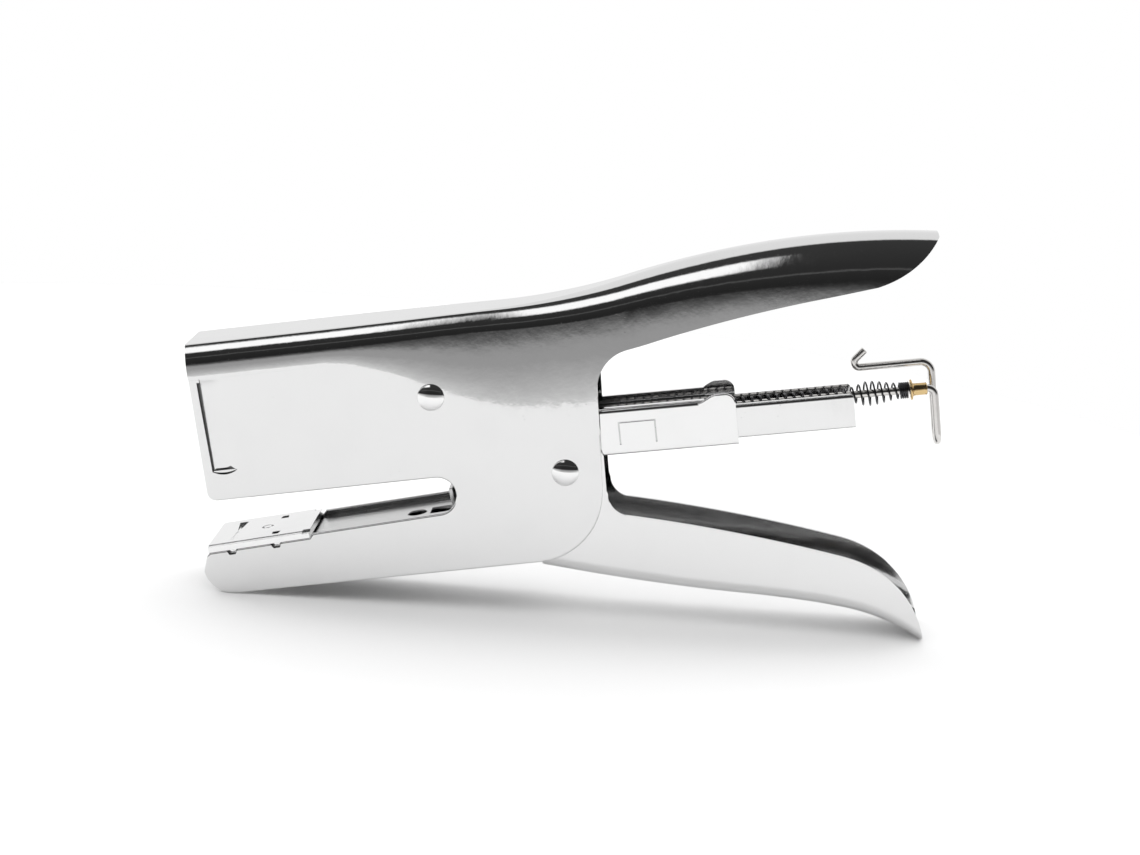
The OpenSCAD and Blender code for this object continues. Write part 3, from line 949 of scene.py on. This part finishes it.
def wire_path():
    """Centre line of the pull wire: the long rod, the finger loop behind it and the hook above."""
    front, back, hook_x = -39, 82.7, 67
    elbow, corner, hook = 1.6, 2.4, 1.2
    loop_z, run_z = -1.0, 14.45
    aside = 4.6
    tip_length, tip_slope = 2.75, math.radians(40)
    path = [(x, 0, ROD_Z) for x in spread(front, back - elbow, 24)]
    path += [(x, 0, z) for x, z in arc(back - elbow, ROD_Z - elbow, elbow, 90, 0, 10)[1:]]
    path += [(back, aside / 2 + y, z) for y, z in arc(0, loop_z, aside / 2, 180, 360, 16)]
    path += [(x, aside, z) for x, z in arc(back - corner, run_z - corner, corner, 0, 90, 12)]
    path += [(x, aside, z) for x, z in arc(hook_x, run_z + hook, hook, 270, 130, 12)]
    x, _, z = path[-1]
    path += [(x + tip_length * math.cos(tip_slope), aside, z + tip_length * math.sin(tip_slope))]
    return path


def pull_wire():
    obj = sweep(wire_path(), WIRE_R, "pull_wire_rod", 28)
    return finish_piece(obj, "pull_wire_rod", MAG, "rod", WIRE, ["pull_wire"], 60)


def eyelet():
    """Turned brass eyelet: a thin rolled flange against the spring and a barrel along the wire."""
    rim = [
        (2.06 + 0.26 * math.cos(math.radians(a)), 0.28 + 0.27 * math.sin(math.radians(a)))
        for a in spread(-90, 90, 8)
    ]
    bore = WIRE_R + 0.02
    profile = [(bore, 0.25), (bore + 0.25, 0.02)] + rim
    profile += [(1.72, 0.6), (1.5, 0.75), (1.39, 1.05), (1.36, 3.2), (1.39, 3.6)]
    profile += [(1.3, 3.74), (1.15, 3.8), (1.0, 3.76), (bore, 3.5), (bore, 0.25)]
    obj = lathe(profile, "eyelet")
    along_x = Matrix.Rotation(math.radians(-90), 4, "Z")
    place = MAG @ Matrix.Translation((EYELET_X, 0, ROD_Z)) @ along_x
    return finish_piece(obj, "brass_eyelet", place, "rod", BRASS, ["spring_eyelet"], 50)


def coil_path(turns, reach, radius, steps=20):
    """A helix about X; reach and radius are functions of the share of the turns done."""
    count = int(turns * steps)
    path = []
    for i in range(count + 1):
        share = i / count
        a = 2 * math.pi * turns * share
        r = radius(share)
        path.append((reach(share), r * math.cos(a), r * math.sin(a)))
    return path


def follower_spring():
    """The long black spring in two stretches: one inside the rail, and the bulging one behind it."""
    wire = 0.21
    mid = 1.62
    start, split, end = -40.2, RAIL_TAIL - 0.4, EYELET_X - wire - 0.02
    turns_in = 56
    inside = coil_path(turns_in, lambda s: start + (split - start) * s, lambda s: mid)
    obj = sweep([(x, y, z + ROD_Z) for x, y, z in inside], wire, "spring_in_rail", 8)
    finish_piece(
        obj, "follower_spring_front", MAG, "rail", BLACK, ["follower_spring"], 80
    )
    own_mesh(obj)

    turns_out, tight = 11.5, 4.5
    loose = turns_out - tight
    pitch = 2.2 * wire

    def reach(s):
        done = s * turns_out
        loose_length = end - split - tight * pitch
        if done < loose:
            return split + loose_length * (done / loose)
        return split + loose_length + (done - loose) * pitch

    def radius(s):
        """A bulge that peaks at the third coil and dies away at the closed ones."""
        share = min(1.0, s * turns_out / loose)
        swollen = ease(share / 0.36) if share < 0.36 else 1 - 0.94 * ease((share - 0.36) / 0.64)
        return mid + swollen

    outside = coil_path(turns_out, reach, radius, 24)
    obj = sweep([(x, y, z + ROD_Z) for x, y, z in outside], wire, "spring_behind_rail", 10)
    finish_piece(obj, "follower_spring_rear", MAG, "rod", BLACK, (), 80)
    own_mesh(obj)


def standing_spring(name, node, place, body, mid, wire, length, turns, material):
    """A pressure spring along Z with closed end coils."""
    closed = 1.0

    def reach(s):
        done = s * turns
        pitch = wire * 1.02
        open_length = length - wire - 2 * closed * pitch
        if done < closed:
            return wire / 2 + done * pitch
        if done > turns - closed:
            return length - wire / 2 - (turns - done) * pitch
        return wire / 2 + closed * pitch + open_length * (done - closed) / (turns - 2 * closed)

    path = [(y, z, x) for x, y, z in coil_path(turns, reach, lambda s: mid, 24)]
    obj = sweep(path, wire / 2, name, 12)
    finish_piece(obj, name, place, body, material, [node], 80)
    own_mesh(obj)


# ---------- build ----------

shell()
lever()
rivet("pivot_rivet_piece", (0, 0), "pivot_rivet")
rivet("stop_rivet_piece", STOP_AT, "stop_rivet")
magazine()
rail()
pull_wire()
eyelet()
follower_spring()
standing_spring(
    "lever_return_spring", "clamp_spring", MAG @ Matrix.Translation((-49.8, 0, MAG_TOP + 0.06)),
    "magazine", 4.9, 0.9, 15, 6, SPRING
)
standing_spring(
    "magazine_lift_spring", "lift_spring", JAW @ Matrix.Translation((11.5, 0, -1.45)),
    "frame", 3.0, 0.8, 9.4, 6, SPRING
)
refined("jaw_floor", "jaw_floor_plate", "frame", INNER_PLATE_AND_SHADE, 0.14)
anvil()
refined("stop_sleeve", "stop_sleeve_piece", "frame", BRIGHT, 0.15)
refined("driver_blade", "driver_blade_piece", "driver", HARD, 0.08)
refined("driver_carrier", "driver_carrier_piece", "driver", BRIGHT, 0.12)
refined("driver_pin", "driver_pin_piece", "driver", BRIGHT, 0.25)
refined("driver_rivets", "driver_rivet_pair", "driver", BRIGHT, 0.12)
refined("magazine_nose", "magazine_nose_plate", "magazine", BRIGHT, 0.12)
refined("staple_pusher", "staple_pusher_piece", "pusher", HARD, 0.1)


# ---------- floor, light and camera ----------

def floor():
    material = bpy.data.materials.new("floor")
    material.use_nodes = True
    surface = material.node_tree.nodes["Principled BSDF"]
    surface.inputs["Base Color"].default_value = (0.9, 0.9, 0.9, 1)
    surface.inputs["Roughness"].default_value = 0.9
    bm = bmesh.new()
    bmesh.ops.create_circle(bm, cap_ends=True, segments=128, radius=0.34)
    bmesh.ops.translate(bm, verts=bm.verts, vec=(-0.1, 0, 0))
    obj = to_object("floor", bm)
    if obj.data.polygons[0].normal.z < 0:
        obj.data.flip_normals()
    obj.data.materials.append(material)


# Directions in the studio are unit vectors: the spans are stretches of their X, from the jaws' end.
STRIP_SPAN = (-0.24, -0.16)
WALL_SPAN = (-0.6, -0.4)
WALL_GAIN = 1.3

# (degrees, brightness): from the backdrop's foot (0) over the top (90) to the camera's side (180)
ROOM = [
    (-180, 0.42), (-176, 0.55), (-170, 0.85), (-1, 0.95), (80, 0.95), (86, 0.05),
    (148, 0.03), (150, 0.13), (152, 0.03), (170, 0.02), (173.5, 0.14), (176, 0.4),
]
STRIP = [(-180, 0), (109, 0), (112, 1.3), (130, 1.3), (133, 0)]


def ramped(tree, share, stops):
    """The brightness at a share of the full turn, from (degrees, brightness) stops."""
    node = tree.nodes.new("ShaderNodeValToRGB")
    elements = node.color_ramp.elements
    while len(elements) < len(stops):
        elements.new(0.5)
    for element, (degrees, value) in zip(elements, stops):
        element.position = (degrees + 180) / 360
        element.color = (value, value, value, 1)
    tree.links.new(share, node.inputs["Fac"])
    return node.outputs["Color"]


def mapped(tree, value, stretch, levels):
    """A value that goes from one level to the other along a stretch of the given one."""
    node = tree.nodes.new("ShaderNodeMapRange")
    node.inputs["From Min"].default_value, node.inputs["From Max"].default_value = stretch
    node.inputs["To Min"].default_value, node.inputs["To Max"].default_value = levels
    tree.links.new(value, node.inputs["Value"])
    return node.outputs["Result"]


def scaled(tree, colour, factor):
    node = tree.nodes.new("ShaderNodeVectorMath")
    node.operation = "SCALE"
    tree.links.new(colour, node.inputs[0])
    tree.links.new(factor, node.inputs["Scale"])
    return node.outputs["Vector"]


def world():
    """White backdrop behind, dark overhead, a white overhead strip in front, dark below it."""
    made = bpy.data.worlds.new("studio")
    made.use_nodes = True
    bpy.context.scene.world = made
    tree = made.node_tree
    back = tree.nodes["Background"]
    place = tree.nodes.new("ShaderNodeTexCoord")
    split = tree.nodes.new("ShaderNodeSeparateXYZ")
    tree.links.new(place.outputs["Generated"], split.inputs[0])
    angle = tree.nodes.new("ShaderNodeMath")
    angle.operation = "ARCTAN2"
    tree.links.new(split.outputs["Z"], angle.inputs[0])
    tree.links.new(split.outputs["Y"], angle.inputs[1])
    share = mapped(tree, angle.outputs[0], (-math.pi, math.pi), (0, 1))
    # the overhead strip only spans the jaws' end of the studio, and the wall beyond them is bright
    strip_span = mapped(tree, split.outputs["X"], STRIP_SPAN, (1, 0))
    wall_gain = mapped(tree, split.outputs["X"], WALL_SPAN, (WALL_GAIN, 1))
    room = scaled(tree, ramped(tree, share, ROOM), wall_gain)
    strip = scaled(tree, ramped(tree, share, STRIP), strip_span)
    total = tree.nodes.new("ShaderNodeVectorMath")
    total.operation = "ADD"
    tree.links.new(room, total.inputs[0])
    tree.links.new(strip, total.inputs[1])
    # the camera itself sees plain white behind the part
    rays = tree.nodes.new("ShaderNodeLightPath")
    mix = tree.nodes.new("ShaderNodeMix")
    mix.data_type = "RGBA"
    sockets = [s for s in mix.inputs if s.type == "RGBA"]
    tree.links.new(rays.outputs["Is Camera Ray"], mix.inputs[0])
    tree.links.new(total.outputs["Vector"], sockets[0])
    sockets[1].default_value = (1, 1, 1, 1)
    tree.links.new([s for s in mix.outputs if s.type == "RGBA"][0], back.inputs["Color"])


def soft_sun(name, direction, power, softness):
    """A broad even light that isn't mirrored in the chrome, which only reflects the studio."""
    data = bpy.data.lights.new(name, "SUN")
    data.energy, data.angle = power, math.radians(softness)
    obj = bpy.data.objects.new(name, data)
    obj.rotation_mode = "QUATERNION"
    obj.rotation_quaternion = Vector(direction).to_track_quat("-Z", "Y")
    obj.visible_glossy = False
    bpy.context.scene.collection.objects.link(obj)


def camera():
    """Nearly square on, a little above, rolled a few degrees so that the part leans as it lies."""
    azimuth = math.radians(2.2)
    elevation = math.radians(14.3)
    roll = math.radians(3.55)
    distance = 0.49
    level = math.cos(elevation)
    target = Vector((PIVOT.x * MM + 0.0004, -0.010, 0.0442))
    forward = Vector((-math.sin(azimuth) * level, math.cos(azimuth) * level, -math.sin(elevation)))
    right = Vector((math.cos(azimuth), math.sin(azimuth), 0))
    up = right.cross(forward)
    x = right * math.cos(roll) + up * math.sin(roll)
    y = up * math.cos(roll) - right * math.sin(roll)
    data = bpy.data.cameras.new("camera")
    data.sensor_width, data.lens = 36, 70.4
    data.clip_start, data.clip_end = 0.01, 20
    obj = bpy.data.objects.new("camera", data)
    turn = Matrix((x, y, -forward)).transposed().to_4x4()
    obj.matrix_world = Matrix.Translation(target - forward * distance) @ turn
    bpy.context.scene.collection.objects.link(obj)
    bpy.context.scene.camera = obj


floor()
world()
soft_sun("key", (0.45, 0.35, -1), 1.75, 90)
soft_sun("fill", (-0.5, -0.4, -1), 1.0, 100)
camera()
bpy.context.scene.view_settings.view_transform = "Standard"
